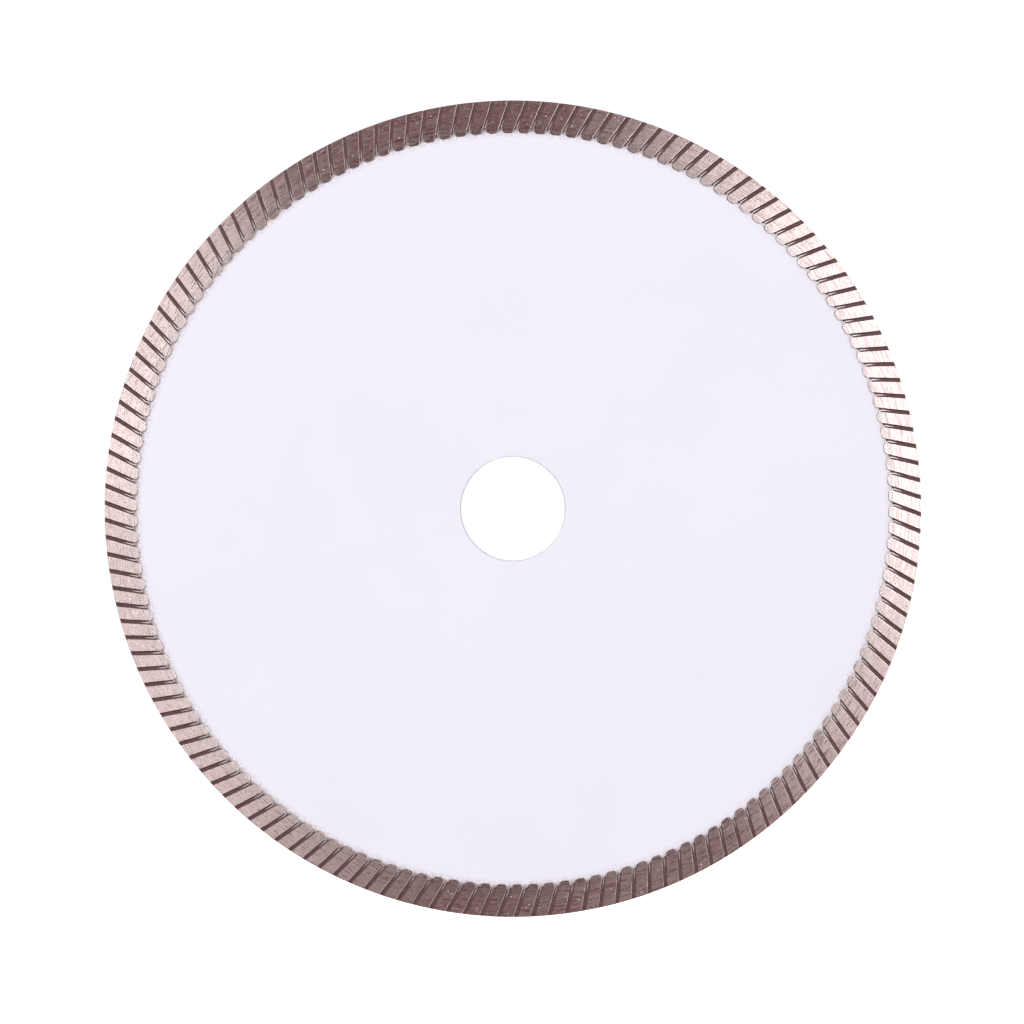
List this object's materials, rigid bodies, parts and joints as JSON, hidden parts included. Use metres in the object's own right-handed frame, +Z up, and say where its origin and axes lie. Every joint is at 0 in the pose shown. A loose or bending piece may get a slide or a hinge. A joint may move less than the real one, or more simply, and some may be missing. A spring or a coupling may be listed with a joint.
{
  "type": "diamond blade",
  "caption": "Round steel-cored diamond blade with a continuous turbo rim of slanted ribs on both faces and a plain arbor bore, lacquered white on both flanks.",
  "frame": {"origin": "centre of the arbor bore, midway through the blade's thickness", "axes": "+Y along the blade's axis from the front face to the back face, +Z up, +X to the right as seen from the front"},
  "size_m": [0.2, 0.0022, 0.2],
  "materials": {
    "core_steel": "ground",
    "bronze_matrix": "sintered and ground",
    "bond_metal": "sintered and ground",
    "white_lacquer": "satin",
    "diamond": "crystalline"
  },
  "bodies": {
    "root": {"steel_core": "core_steel", "diamond_rim": "bronze_matrix", "bond_layer": "bond_metal", "front_lacquer": "white_lacquer", "back_lacquer": "white_lacquer", "diamond_grit": "diamond"}
  },
  "joints": []
}
